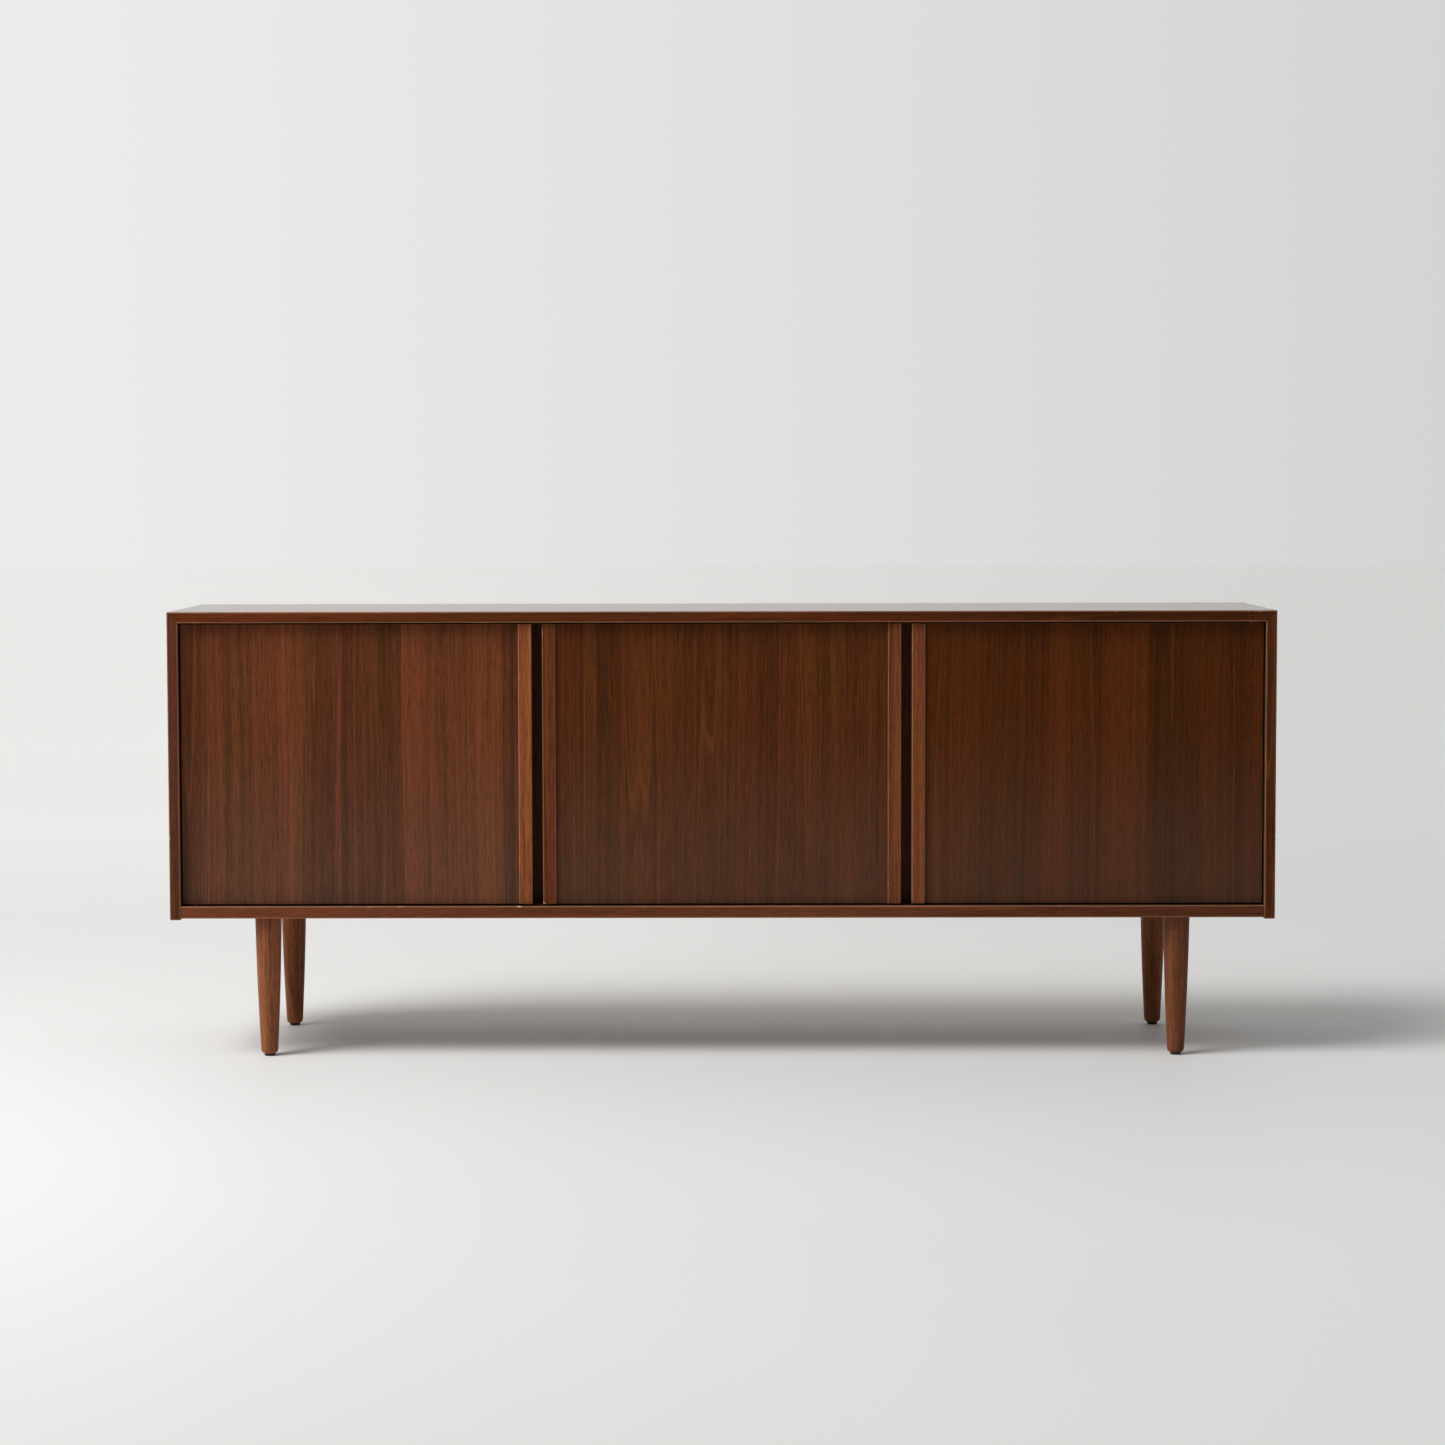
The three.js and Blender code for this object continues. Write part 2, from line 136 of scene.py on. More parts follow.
class Shader:
    """A material whose nodes are added with short calls. Values may be numbers or sockets."""

    def __init__(self, name):
        self.material = bpy.data.materials.new(name)
        self.material.use_nodes = True
        self.tree = self.material.node_tree
        self.tree.nodes.clear()

    @classmethod
    def of_tree(cls, tree):
        """The same short calls on a tree that already exists, such as the world's."""
        shader = cls.__new__(cls)
        shader.tree = tree
        return shader

    def feed(self, socket, value):
        if isinstance(value, bpy.types.NodeSocket):
            self.tree.links.new(value, socket)
        else:
            socket.default_value = value

    def add(self, kind, inputs=(), **settings):
        node = self.tree.nodes.new("ShaderNode" + kind)
        for key, value in settings.items():
            setattr(node, key, value)
        for key, value in dict(inputs).items():
            self.feed(node.inputs[key], value)
        return node

    def math(self, operation, a, b=0.0, clamp=False):
        node = self.add("Math", {0: a, 1: b}, operation=operation, use_clamp=clamp)
        return node.outputs[0]

    def vector(self, operation, a, b=(0.0, 0.0, 0.0)):
        return self.add("VectorMath", {0: a, 1: b}, operation=operation).outputs[0]

    def split(self, vector):
        return self.add("SeparateXYZ", {0: vector}).outputs

    def joined(self, x, y, z):
        return self.add("CombineXYZ", {0: x, 1: y, 2: z}).outputs[0]

    def noise(self, vector, stretch, detail=2.0, roughness=0.55):
        place = self.vector("MULTIPLY", vector, stretch)
        inputs = {"Vector": place, "Scale": 1.0, "Detail": detail, "Roughness": roughness}
        return self.add("TexNoise", inputs).outputs

    def range(self, value, low, high, to_low=0.0, to_high=1.0):
        inputs = {0: value, 1: low, 2: high, 3: to_low, 4: to_high}
        return self.add("MapRange", inputs, interpolation_type="SMOOTHSTEP").outputs[0]

    def mix(self, factor, a, b, blend="MIX"):
        """A mix of two colours, which are sockets 6 and 7 of the node."""
        node = self.add("Mix", data_type="RGBA", blend_type=blend)
        self.feed(node.inputs[0], factor)
        self.feed(node.inputs[6], a)
        self.feed(node.inputs[7], b)
        return node.outputs[2]

    def ramp(self, value, stops):
        node = self.add("ValToRGB", {0: value})
        elements = node.color_ramp.elements
        while len(elements) < len(stops):
            elements.new(0.5)
        for element, (place, colour) in zip(elements, stops):
            element.position = place
            element.color = colour
        return node.outputs[0]

    def surface(self, inputs, height=None, bump=0.0):
        shader = self.add("BsdfPrincipled", inputs)
        if height is not None:
            relief = self.add("Bump", {"Height": height, "Strength": 1.0, "Distance": bump})
            self.feed(shader.inputs["Normal"], relief.outputs[0])
        output = self.add("OutputMaterial")
        self.tree.links.new(shader.outputs[0], output.inputs[0])
        return self.material


def shade(colour, factor):
    return tuple(value * factor for value in colour[:3]) + (1,)


# ---- wood ----


class Timber:
    """The colours of one kind of wood, from dark line to bright streak."""

    def __init__(self, dark, middle, light, streak):
        self.dark = dark
        self.middle = middle
        self.light = light
        self.streak = streak

    def toned(self, factor, cool=1.0, brown=1.0):
        """The same wood lighter or darker. Above 1, cool takes it from orange towards rose, and
        brown from red towards brown."""
        tint = (factor, factor * brown, factor * cool)
        colours = (self.dark, self.middle, self.light, self.streak)
        return Timber(*(tuple(c * t for c, t in zip(colour, tint)) + (1,) for colour in colours))


VENEER = Timber(
    dark=(0.057, 0.0180, 0.0050, 1),
    middle=(0.111, 0.0312, 0.0088, 1),
    light=(0.168, 0.0455, 0.0145, 1),
    streak=(0.255, 0.0780, 0.0260, 1),
)
SOLID = Timber(
    dark=(0.096, 0.0270, 0.0087, 1),
    middle=(0.186, 0.0530, 0.0175, 1),
    light=(0.276, 0.0850, 0.0290, 1),
    streak=(0.360, 0.1280, 0.0470, 1),
)
LEG = Timber(
    dark=(0.090, 0.0310, 0.0125, 1),
    middle=(0.180, 0.0610, 0.0250, 1),
    light=(0.280, 0.1000, 0.0430, 1),
    streak=(0.360, 0.1420, 0.0650, 1),
)
INNER = Timber(
    dark=(0.130, 0.056, 0.024, 1),
    middle=(0.230, 0.104, 0.045, 1),
    light=(0.300, 0.145, 0.066, 1),
    streak=(0.340, 0.175, 0.082, 1),
)
PLY = Timber(
    dark=(0.230, 0.128, 0.060, 1),
    middle=(0.340, 0.200, 0.098, 1),
    light=(0.420, 0.262, 0.135, 1),
    streak=(0.470, 0.310, 0.170, 1),
)
ARRIS_WEAR = 0.14  # how bare an arris is where it is least worn
BARE = (0.58, 0.43, 0.31, 1)  # wood under a rubbed or chipped finish
ROSY = (1.03, 0.97, 1.12, 1)
OLIVE = (0.95, 1.04, 0.96, 1)
HAZE = (0.150, 0.135, 0.120, 1)

# Grain along an axis: the order of object axes that puts it third.
GRAIN_ORDER = {"x": (1, 2, 0), "z": (0, 1, 2), "z_on_side": (1, 0, 2)}

# Cells of noise per metre: across the grain, through the wood and along the grain.
DRIFT = (2.6, 2.6, 1.3)
BANDS = (20, 20, 0.60)
LINES = (140, 140, 1.5)
DASHES = (430, 430, 26)
STREAKS = (29, 29, 0.42)
FIGURE = (17, 17, 0.30)
HUE = (13, 13, 1.4)
WEAR = (90, 90, 40)
PORES = (1300, 1300, 48)
MOTTLE = (5.5, 5.5, 3.2)

DRIFT_REACH = 0.022  # how far the grain strays sideways
SEAM_SHARE = 0.02  # of a leaf's width
NICK_SPACING = 0.13
NICK_SIZE = 0.0010
HAZE_REACH = 0.38
HAZE_SHARE = 0.13
# Painted shade on the faces turned in, darkest at the front of the boards:
PAINTED_SHADE_START = 0.018  # behind the front of the boards
PAINTED_SHADE_REACH = 0.030
PORE_BUMP = 0.00012


def grain_place(s, along, seed, leaf):
    """Place in the wood with the grain along its third axis, how light each leaf is, and a
    value that is above 0 beside the joints between leaves. Every other leaf is turned over,
    so it catches the light differently."""
    axes = s.split(s.add("TexCoord").outputs["Object"])
    order = GRAIN_ORDER[along]
    across, through, length = (axes[i] for i in order)
    drift = s.noise(s.joined(across, through, length), DRIFT, 1.0)[0]
    across = s.math("ADD", across, s.math("MULTIPLY", s.math("SUBTRACT", drift, 0.5), DRIFT_REACH))
    light = 1.0
    seam = 0.0
    if leaf:
        width, start, contrast = leaf
        count = s.math("DIVIDE", s.math("SUBTRACT", across, start), width)
        number = s.math("FLOOR", count)
        turned = s.math("PINGPONG", number, 1.0)
        white = s.add("TexWhiteNoise", {"W": s.math("ADD", number, seed)}, noise_dimensions="1D")
        dice = white.outputs["Value"]
        seam = s.range(s.math("FRACT", count), 0.0, SEAM_SHARE, s.math("MULTIPLY", dice, 0.4), 0.0)
        chance = s.range(dice, 0.0, 1.0, 0.95, 1.05)
        light = s.math("ADD", chance, s.math("MULTIPLY", turned, -contrast))
        length = s.math("ADD", length, s.math("MULTIPLY", dice, 9.0))
        through = s.math("ADD", through, s.math("MULTIPLY", number, 1.7))
    offset = (seed * 3.17, seed * 1.31, seed * 5.43)
    return s.vector("ADD", s.joined(across, through, length), offset), light, seam


def grain_value(s, place):
    """From 0 in a dark line to 1 in a light one: soft bands, long lines and short dashes."""
    bands = s.noise(place, BANDS, 3.0, 0.55)[0]
    lines = s.noise(place, LINES, 5.0, 0.72)[0]
    dashes = s.noise(place, DASHES, 3.0, 0.75)[0]
    value = s.math("MULTIPLY", s.range(bands, 0.30, 0.70), 0.30)
    for part, share in ((lines, 0.34), (dashes, 0.36)):
        value = s.math("ADD", value, s.math("MULTIPLY", s.range(part, 0.30, 0.70), share))
    return value, lines, dashes


def contour(s, value, level, width):
    """1 along the thin lines where a slowly changing value passes a level."""
    away = s.math("ABSOLUTE", s.math("SUBTRACT", value, level))
    return s.range(away, 0.3 * width, width, 1.0, 0.0)


def grain_colour(s, timber, place, light, seam):
    """The colour of the grain, and the short dashes that also give it relief."""
    value, lines, dashes = grain_value(s, place)
    colour = s.ramp(value, [(0.16, timber.dark), (0.50, timber.middle), (0.84, timber.light)])
    bright = s.noise(place, STREAKS, 2.0, 0.5)[0]
    gleam = s.math("MULTIPLY", s.range(bright, 0.60, 0.78), s.range(lines, 0.35, 0.62))
    drawn = s.noise(place, FIGURE, 1.0, 0.5)[0]
    pale_line = s.math("MULTIPLY", contour(s, drawn, 0.46, 0.0045), 0.32)
    dark_line = s.math("MULTIPLY", contour(s, drawn, 0.475, 0.0075), 0.38)
    gleam = s.math("MAXIMUM", s.math("MULTIPLY", gleam, 0.62), s.math("MAXIMUM", seam, pale_line))
    colour = s.mix(dark_line, colour, timber.dark)
    colour = s.mix(gleam, colour, timber.streak)
    hue = s.noise(place, HUE, 4.0, 0.6)[0]
    tint = s.mix(s.range(hue, 0.32, 0.68), ROSY, OLIVE)
    colour = s.mix(1.0, colour, tint, "MULTIPLY")
    colour = s.mix(1.0, colour, s.joined(light, light, light), "MULTIPLY")
    return colour, dashes


def nicks(s):
    """1 in the few small specks where the finish is chipped."""
    here = s.add("TexCoord").outputs["Object"]
    place = s.vector("MULTIPLY", here, (1 / NICK_SPACING,) * 3)
    cells = s.add("TexVoronoi", {"Vector": place, "Scale": 1.0})
    size = NICK_SIZE / NICK_SPACING
    near = s.range(cells.outputs["Distance"], 0.4 * size, size, 1.0, 0.0)
    chosen = s.math("GREATER_THAN", s.split(cells.outputs["Color"])[0], 0.55)
    return s.math("MULTIPLY", near, chosen)


def haze_at_foot(s, colour, foot):
    """Greyer and duller low down, fading out above the foot."""
    height = s.split(s.add("TexCoord").outputs["Object"])[2]
    low = s.range(height, foot, foot + HAZE_REACH, HAZE_SHARE, 0.0)
    return s.mix(low, colour, HAZE)


def shaded_behind_door_edges(s, colour, front):
    """Painted shade: darker towards the front, in the recess behind the edges of the doors."""
    depth = s.split(s.add("TexCoord").outputs["Object"])[1]
    start = front + PAINTED_SHADE_START
    unshaded = s.range(depth, start, start + PAINTED_SHADE_REACH, 0.16, 1.0)
    return s.mix(1.0, colour, s.joined(unshaded, unshaded, unshaded), "MULTIPLY")


def painted_light_along_length(s, colour, ends):
    """Painted light: lighter or darker from the left end of the sideboard to the right one, as
    light and sheen that fall off away from the left.
    """
    across = s.split(s.add("TexCoord").outputs["Object"])[0]
    light = s.range(across, CAD_BOX[0][0], CAD_BOX[1][0], *ends)
    return s.mix(1.0, colour, s.joined(light, light, light), "MULTIPLY")


def rubbed(s, colour, place):
    """An arris worn paler all along, and nearly bare in short patches."""
    patches = s.noise(place, WEAR, 3.0, 0.7)[0]
    return s.mix(s.range(patches, 0.62, 0.76, ARRIS_WEAR, 0.60), colour, BARE)


def bared(s, colour, spots):
    """Bare wood round each of the given points."""
    here = s.add("TexCoord").outputs["Object"]
    for point, reach in spots:
        span = s.add("VectorMath", {0: here, 1: tuple(point)}, operation="DISTANCE")
        bare = s.range(span.outputs["Value"], 0.5 * reach, reach, 1.0, 0.0)
        colour = s.mix(bare, colour, BARE)
    return colour


def wood(name, timber, along, seed, leaf=None, arris=False, foot=None, spots=(),
         gloss=0.40, lacquer=0.0, pores=0.30, ends=None, painted_shade_front=None):
    """A finished wood. The grain runs along an axis of GRAIN_ORDER, and seed picks its figure.

    leaf: the width of a leaf of veneer, where the first one starts and how far they differ
    arris: whether this is the worn arris of a piece
    foot: the height where the haze begins
    spots: the points that are bare, and how far each one reaches
    lacquer, pores: how much of each there is
    ends: how light the left and the right end of the sideboard are painted, as light falling off
    from left to right
    painted_shade_front: the front of the boards, on a face painted darker near it as shade behind
    the doors
    """
    s = Shader(name)
    place, light, seam = grain_place(s, along, seed, leaf)
    colour, fibres = grain_colour(s, timber, place, light, seam)
    pore = s.range(s.noise(place, PORES, 1.0, 0.4)[0], 0.62, 0.70)
    colour = s.mix(s.math("MULTIPLY", pore, pores), colour, shade(timber.dark, 0.45))
    if ends:
        colour = painted_light_along_length(s, colour, ends)
    if foot is not None:
        colour = haze_at_foot(s, colour, foot)
    if painted_shade_front is not None:
        colour = shaded_behind_door_edges(s, colour, painted_shade_front)
    if arris:
        colour = rubbed(s, colour, place)
    colour = bared(s, colour, spots)
    colour = s.mix(s.math("MULTIPLY", nicks(s), 0.8), colour, BARE)

    mottle = s.noise(place, MOTTLE, 3.0, 0.6)[0]
    rough = s.math("ADD", gloss, s.math("MULTIPLY", s.math("SUBTRACT", mottle, 0.5), 0.16))
    rough = s.math("ADD", rough, s.math("MULTIPLY", pore, 0.18), clamp=True)
    height = s.math("SUBTRACT", s.math("MULTIPLY", fibres, 0.45), s.math("MULTIPLY", pore, 0.6))
    inputs = {
        "Base Color": colour,
        "Roughness": rough,
        "IOR": 1.48,
        "Specular IOR Level": 0.08,
        "Coat Weight": lacquer,
        "Coat Roughness": 0.20,
    }
    return s.surface(inputs, height, PORE_BUMP)


# ---- metal and plastic ----


def metal(name, colour, tarnish, gloss):
    """Brushed along x, with tarnish in soft patches."""
    s = Shader(name)
    place = s.add("TexCoord").outputs["Object"]
    brush = s.noise(place, (40, 900, 900), 3.0, 0.6)[0]
    stain = s.noise(place, (90, 90, 90), 4.0, 0.6)[0]
    base = s.mix(s.range(stain, 0.42, 0.70, 0.0, 0.75), colour, tarnish)
    rough = s.math("ADD", gloss, s.math("MULTIPLY", brush, 0.22), clamp=True)
    inputs = {"Base Color": base, "Metallic": 1.0, "Roughness": rough}
    return s.surface(inputs, brush, 0.00004)


def plastic(name, colour, gloss):
    """Finely textured, with paler dirt in soft patches."""
    s = Shader(name)
    place = s.add("TexCoord").outputs["Object"]
    texture = s.noise(place, (2600, 2600, 2600), 2.0, 0.5)[0]
    dirt = s.noise(place, (160, 160, 160), 3.0, 0.6)[0]
    base = s.mix(s.range(dirt, 0.45, 0.75, 0.0, 0.6), colour, shade(colour, 1.9))
    rough = s.math("ADD", gloss, s.math("MULTIPLY", dirt, 0.2), clamp=True)
    return s.surface({"Base Color": base, "Roughness": rough}, texture, 0.00003)


# ---- finishing the CAD nodes ----


def point_key(point):
    """A key for a point, to the nearest micron."""
    return tuple(round(value * 1e6) for value in point)


def box_arrises(node):
    """The ends of each square edge that runs along an edge of the node's box."""
    low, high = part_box(node)
    bm = bmesh.new()
    bm.from_mesh(frame["nodes"][node].data)
    bmesh.ops.remove_doubles(bm, verts=bm.verts, dist=WELD)
    found = set()
    for edge in bm.edges:
        if len(edge.link_faces) != 2:
            continue
        if abs(edge.calc_face_angle() - math.pi / 2) > SQUARE_SLACK:
            continue
        ends = [vert.co for vert in edge.verts]
        planes = sum(
            all(abs(end[axis] - plane[axis]) < 5 * WELD for end in ends)
            for axis in range(3) for plane in (low, high)
        )
        if planes >= 2:
            found.add(frozenset(point_key(end) for end in ends))
    bm.free()
    return found


def mark_arrises(node):
    """Gives the square edges of a node's box a bevel weight."""
    mesh = frame["nodes"][node].data
    found = box_arrises(node)
    weights = mesh.attributes.new("bevel_weight_edge", "FLOAT", "EDGE")
    for edge in mesh.edges:
        ends = frozenset(point_key(mesh.vertices[i].co) for i in edge.vertices)
        weights.data[edge.index].value = float(ends in found)


def dress(node, face, arris=None, *, width=ARRIS, boxed=True):
    """Gives a CAD node its material, and rounds its arrises with the arris material, which for wood
    carries wear and painted light. On a boxed node only the edges of its box are rounded, and on
    another every sharp edge."""
    piece = frame["nodes"][node]
    piece.data.materials.clear()
    piece.data.materials.append(face)
    piece.data.materials.append(arris or face)
    weld = piece.modifiers.new("weld", "WELD")
    weld.merge_threshold = WELD
    flat = piece.modifiers.new("flat_faces", "DECIMATE")
    flat.decimate_type = "DISSOLVE"
    flat.angle_limit = math.radians(0.5)
    flat.delimit = {"MATERIAL"}
    bevel = piece.modifiers.new("arris", "BEVEL")
    bevel.width = width
    bevel.segments = ARRIS_STEPS
    bevel.material = 1
    if boxed:
        mark_arrises(node)
        bevel.limit_method = "WEIGHT"
        bevel.use_clamp_overlap = False
    else:
        bevel.limit_method = "ANGLE"
        bevel.angle_limit = math.radians(35)


def paint(node, material, facing):
    """Gives a material of its own to the flat faces of a node that face one way."""
    mesh = frame["nodes"][node].data
    mesh.materials.append(material)
    for polygon in mesh.polygons:
        if polygon.normal.dot(facing) > 0.99:
            polygon.material_index = len(mesh.materials) - 1


def pair(name, timber, along, seed, arris_wear_and_light, rubs=(), chips=(), **settings):
    """A wood and its arris, which is so many times as light as the wood: partly wear, and partly a
    painted highlight where the factor is above 1, and painted shade where it is below 1. Rubs are
    bare spots on the arris alone; chips reach into the face beside it."""
    face = wood(name, timber, along, seed, spots=chips, **settings)
    settings.update(arris=True, spots=rubs + chips)
    edge = wood(name + "_arris", timber.toned(arris_wear_and_light), along, seed, **settings)
    return face, edge


# ---- new pieces ----


def add_mesh(name, bm, material, body, smooth=True):
    """Makes a piece from bm, which is used up, and lets it ride on a body."""
    mesh = bpy.data.meshes.new(name)
    bm.normal_update()
    bm.to_mesh(mesh)
    bm.free()
    for polygon in mesh.polygons:
        polygon.use_smooth = smooth
    mesh.materials.append(material)
    piece = bpy.data.objects.new(name, mesh)
    bpy.context.scene.collection.objects.link(piece)
    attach(piece, body)
    return piece


def turn_into(bm, profile, sides, place):
    """Adds a closed turned body to bm. The profile holds (radius, z) points, and it starts and
    ends on the axis."""
    rings = []
    for radius, z in profile:
        if radius < 1e-7:
            rings.append([bm.verts.new(place + Vector((0, 0, z)))])
            continue
        ring = []
        for i in range(sides):
            angle = 2 * math.pi * i / sides
            point = Vector((radius * math.cos(angle), radius * math.sin(angle), z))
            ring.append(bm.verts.new(place + point))
        rings.append(ring)
    for low, high in zip(rings, rings[1:]):
        for i in range(sides):
            j = (i + 1) % sides
            corners = [low[k % len(low)] for k in (i, j)] + [high[k % len(high)] for k in (j, i)]
            bm.faces.new(list(dict.fromkeys(corners)))


def rounded(profile, radius, steps=4):
    """A profile with each inner corner replaced by a short curve."""
    points = [Vector(p) for p in profile]
    smooth = [points[0]]
    for before, corner, after in zip(points, points[1:], points[2:]):
        reach = min(radius, (before - corner).length * 0.45, (after - corner).length * 0.45)
        start = corner + (before - corner).normalized() * reach
        end = corner + (after - corner).normalized() * reach
        for i in range(steps + 1):
            t = i / steps
            smooth.append(start * (1 - t) ** 2 + corner * 2 * t * (1 - t) + end * t ** 2)
    smooth.append(points[-1])
    return [tuple(p) for p in smooth]


def leg_profile(low, high, top):
    """A tapered leg with a slight swell and a turned foot, from its lowest to its highest point."""
    foot = top * FOOT_SHARE
    points = [(0, low), (foot * 0.70, low), (foot * 0.92, low + FOOT_CHAMFER * 0.36)]
    for i in range(LEG_STEPS + 1):
        t = i / LEG_STEPS
        radius = foot + (top - foot) * t + LEG_SWELL * math.sin(math.pi * t)
        points.append((radius, low + FOOT_CHAMFER + (high - low - FOOT_CHAMFER) * t))
    points.append((0, high))
    return rounded(points, LEG_ROUNDING)


def glide_profile(radius, top):
    """A disc that stands on the floor, with a stem into the leg."""
    points = [
        (0, 0),
        (radius - 0.0006, 0),
        (radius, GLIDE_LIP),
        (GLIDE_STEM, GLIDE_LIP),
        (GLIDE_STEM, top),
        (0, top),
    ]
    return rounded(points, GLIDE_ROUNDING)


def add_leg(end, material, glide_material):
    low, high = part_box(f"leg_{end}")
    place = Vector(((low.x + high.x) / 2, (low.y + high.y) / 2, 0))
    bm = bmesh.new()
    turn_into(bm, leg_profile(low.z, high.z, (high.x - low.x) / 2), LEG_SIDES, place)
    leg = add_mesh(f"turned_leg_{end}", bm, material, "case")
    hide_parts(f"leg_{end}")

    low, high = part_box(f"glide_{end}")
    bm = bmesh.new()
    turn_into(bm, glide_profile((high.x - low.x) / 2, high.z), GLIDE_SIDES, place)
    glide = add_mesh(f"glide_disc_{end}", bm, glide_material, "case")
    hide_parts(f"glide_{end}")


# ---- the sideboard ----


def rub_below_left_pull():
    """Where the left edge of the left pull stands over the front arris of the bottom board."""
    low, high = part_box("bottom_panel")
    return Vector((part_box("left_door_pull")[0].x, low.y, high.z))


def make_boards():
    """The four boards that show at the front, each with inner veneer on the face turned in, painted
    darker near the front as shade behind the doors.
    """
    # Painted light along the top and bottom boards: lighter at the left end, darker at the right.
    above = {"ends": (1.34, 0.80)}
    below = {"ends": (1.04, 0.95), "rubs": ((rub_below_left_pull(), RUB_REACH),)}
    boards = (
        ("top_panel", "x", VENEER.toned(0.79, 0.58, 0.80), above, (0, 0, -1)),
        ("bottom_panel", "x", VENEER.toned(1.20, 1.35, 1.05), below, (0, 0, 1)),
        ("left_side_panel", "z_on_side", VENEER.toned(0.96, 1.55, 1.1), {}, (1, 0, 0)),
        ("right_side_panel", "z_on_side", VENEER.toned(0.93, 0.8), {}, (-1, 0, 0)),
    )
    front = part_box("top_panel")[0].y
    leaf = (BOARD_LEAF, front - BOARD_LEAF / 2, 0.08)
    for number, (node, along, timber, settings, inward) in enumerate(boards):
        name = f"{node}_veneer"
        # The boards' arrises are lighter, as wear and as a painted highlight along the edge.
        face, arris_wear_and_light = pair(name, timber, along, 2.0 + number, arris_wear_and_light=1.7, leaf=leaf, **settings)
        dress(node, face, arris_wear_and_light, width=BOARD_ARRIS)
        # The faces turned in get painted shade near the front, where the doors shade them.
        lining = {"leaf": leaf, "gloss": 0.55, "painted_shade_front": front}
        inner = wood(f"{node}_inner", INNER, along, 12.0 + number, **lining)
        paint(node, inner, Vector(inward))
    lacquered = wood("top_lacquered", VENEER, "x", 2.0, leaf=leaf, lacquer=1.0)
    paint("top_panel", lacquered, Vector((0, 0, 1)))


def make_case():
    make_boards()
    ply = wood("back_ply", PLY.toned(1.04, 0.91, 0.86), "x", 5.0, gloss=0.62)
    dress("back_panel", ply, width=SMALL_ARRIS)
    inner_x = wood("inner_grain_x", INNER, "x", 6.0, gloss=0.55)
    inner_z = wood("inner_grain_z", INNER, "z_on_side", 7.0, gloss=0.55)
    for side in ("left", "centre", "right"):
        dress(f"{side}_shelf", inner_x)
    stained = wood("stained_edge", VENEER.toned(0.85, 1.3), "z", 8.0)
    for side in ("left", "right"):
        dress(f"{side}_partition", inner_z)
        paint(f"{side}_partition", stained, Vector((0, -1, 0)))


def make_doors():
    # The doors darken from left to right: partly their own veneer, partly painted light falling off
    # away from the left.
    doors = (  # timber, seed of the grain, contrast between leaves
        ("left", VENEER.toned(1.28, 1.15), 11.0, 0.13),
        ("centre", VENEER.toned(0.95, 0.67, 0.94), 23.0, 0.04),
        ("right", VENEER.toned(0.70, 0.36, 0.88), 37.0, -0.20),
    )
    for side, timber, seed, contrast in doors:
        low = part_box(f"{side}_door_panel")[0]
        leaf = (DOOR_LEAF, low.x + DOOR_LEAF_START, contrast)
        # The doors' arrises are darker, as painted shade along the gaps round the doors.
        settings = {"arris_wear_and_light": 0.8, "leaf": leaf, "foot": low.z}
        face, arris_wear_and_light = pair(f"{side}_door_veneer", timber, "z", seed, **settings)
        dress(f"{side}_door_panel", face, arris_wear_and_light, width=SMALL_ARRIS)
        inner = wood(f"{side}_door_inner", INNER, "z", seed + 3, leaf=leaf, gloss=0.55)
        paint(f"{side}_door_panel", inner, Vector((0, 1, 0)))


def make_pulls():
    chip = (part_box("centre_door_left_pull")[0], CHIP_REACH)
    pulls = (
        ("left_door_pull", SOLID.toned(1.55), ()),
        ("centre_door_left_pull", SOLID.toned(0.70, 0.85, 0.92), (chip,)),
        ("centre_door_right_pull", SOLID.toned(1.08, 0.97, 0.97), ()),
        ("right_door_pull", SOLID.toned(1.04, 0.97, 0.98), ()),
    )
    for number, (node, timber, chips) in enumerate(pulls):
        seed = 51.0 + 7 * number
        # The pulls' arrises are lighter, as wear and as a painted highlight along the edge.
        face, arris_wear_and_light = pair(f"{node}_wood", timber, "z", seed, arris_wear_and_light=1.4, chips=chips)
        dress(node, face, arris_wear_and_light, width=PULL_ARRIS)


def make_legs():
    glide = plastic("glide_nylon", (0.012, 0.010, 0.009, 1), 0.5)
    # Painted light in the legs' tones: the back legs lighter, as light bounced onto them from
    # behind, and the left ones lighter than the right, as light falling off away from the left.
    tones_with_painted_light = {"front_left": 1.36, "front_right": 0.89, "back_left": 1.75, "back_right": 1.40}
    for number, (end, tone_with_painted_light) in enumerate(tones_with_painted_light.items()):
        timber = LEG.toned(tone_with_painted_light, 0.97, 0.95)
        seed = 81.0 + 5 * number
        material = wood(f"leg_wood_{end}", timber, "z", seed, gloss=0.42, pores=0.45)
        add_leg(end, material, glide)


def add_half_disc(bm, radius, slot, turn):
    """One of the two raised halves of a slotted screw head, as a closed solid. It stands slot
    away from the middle of the head."""
    steps = 10
    start = math.asin(slot / radius)
    outline = []
    for i in range(steps + 1):
        angle = start + (math.pi - 2 * start) * i / steps
        outline.append((radius * math.cos(angle), radius * math.sin(angle)))
    rings = []
    for z, inset in ((SLOT_FLOOR, 1.0), (HEAD_TOP, 0.93)):
        points = [turn @ Vector((x * inset, slot + (y - slot) * inset, z)) for x, y in outline]
        rings.append([bm.verts.new(point) for point in points])
    bm.faces.new(rings[0][::-1])
    bm.faces.new(rings[1])
    count = len(outline)
    for i in range(count):
        j = (i + 1) % count
        bm.faces.new((rings[0][i], rings[0][j], rings[1][j], rings[1][i]))


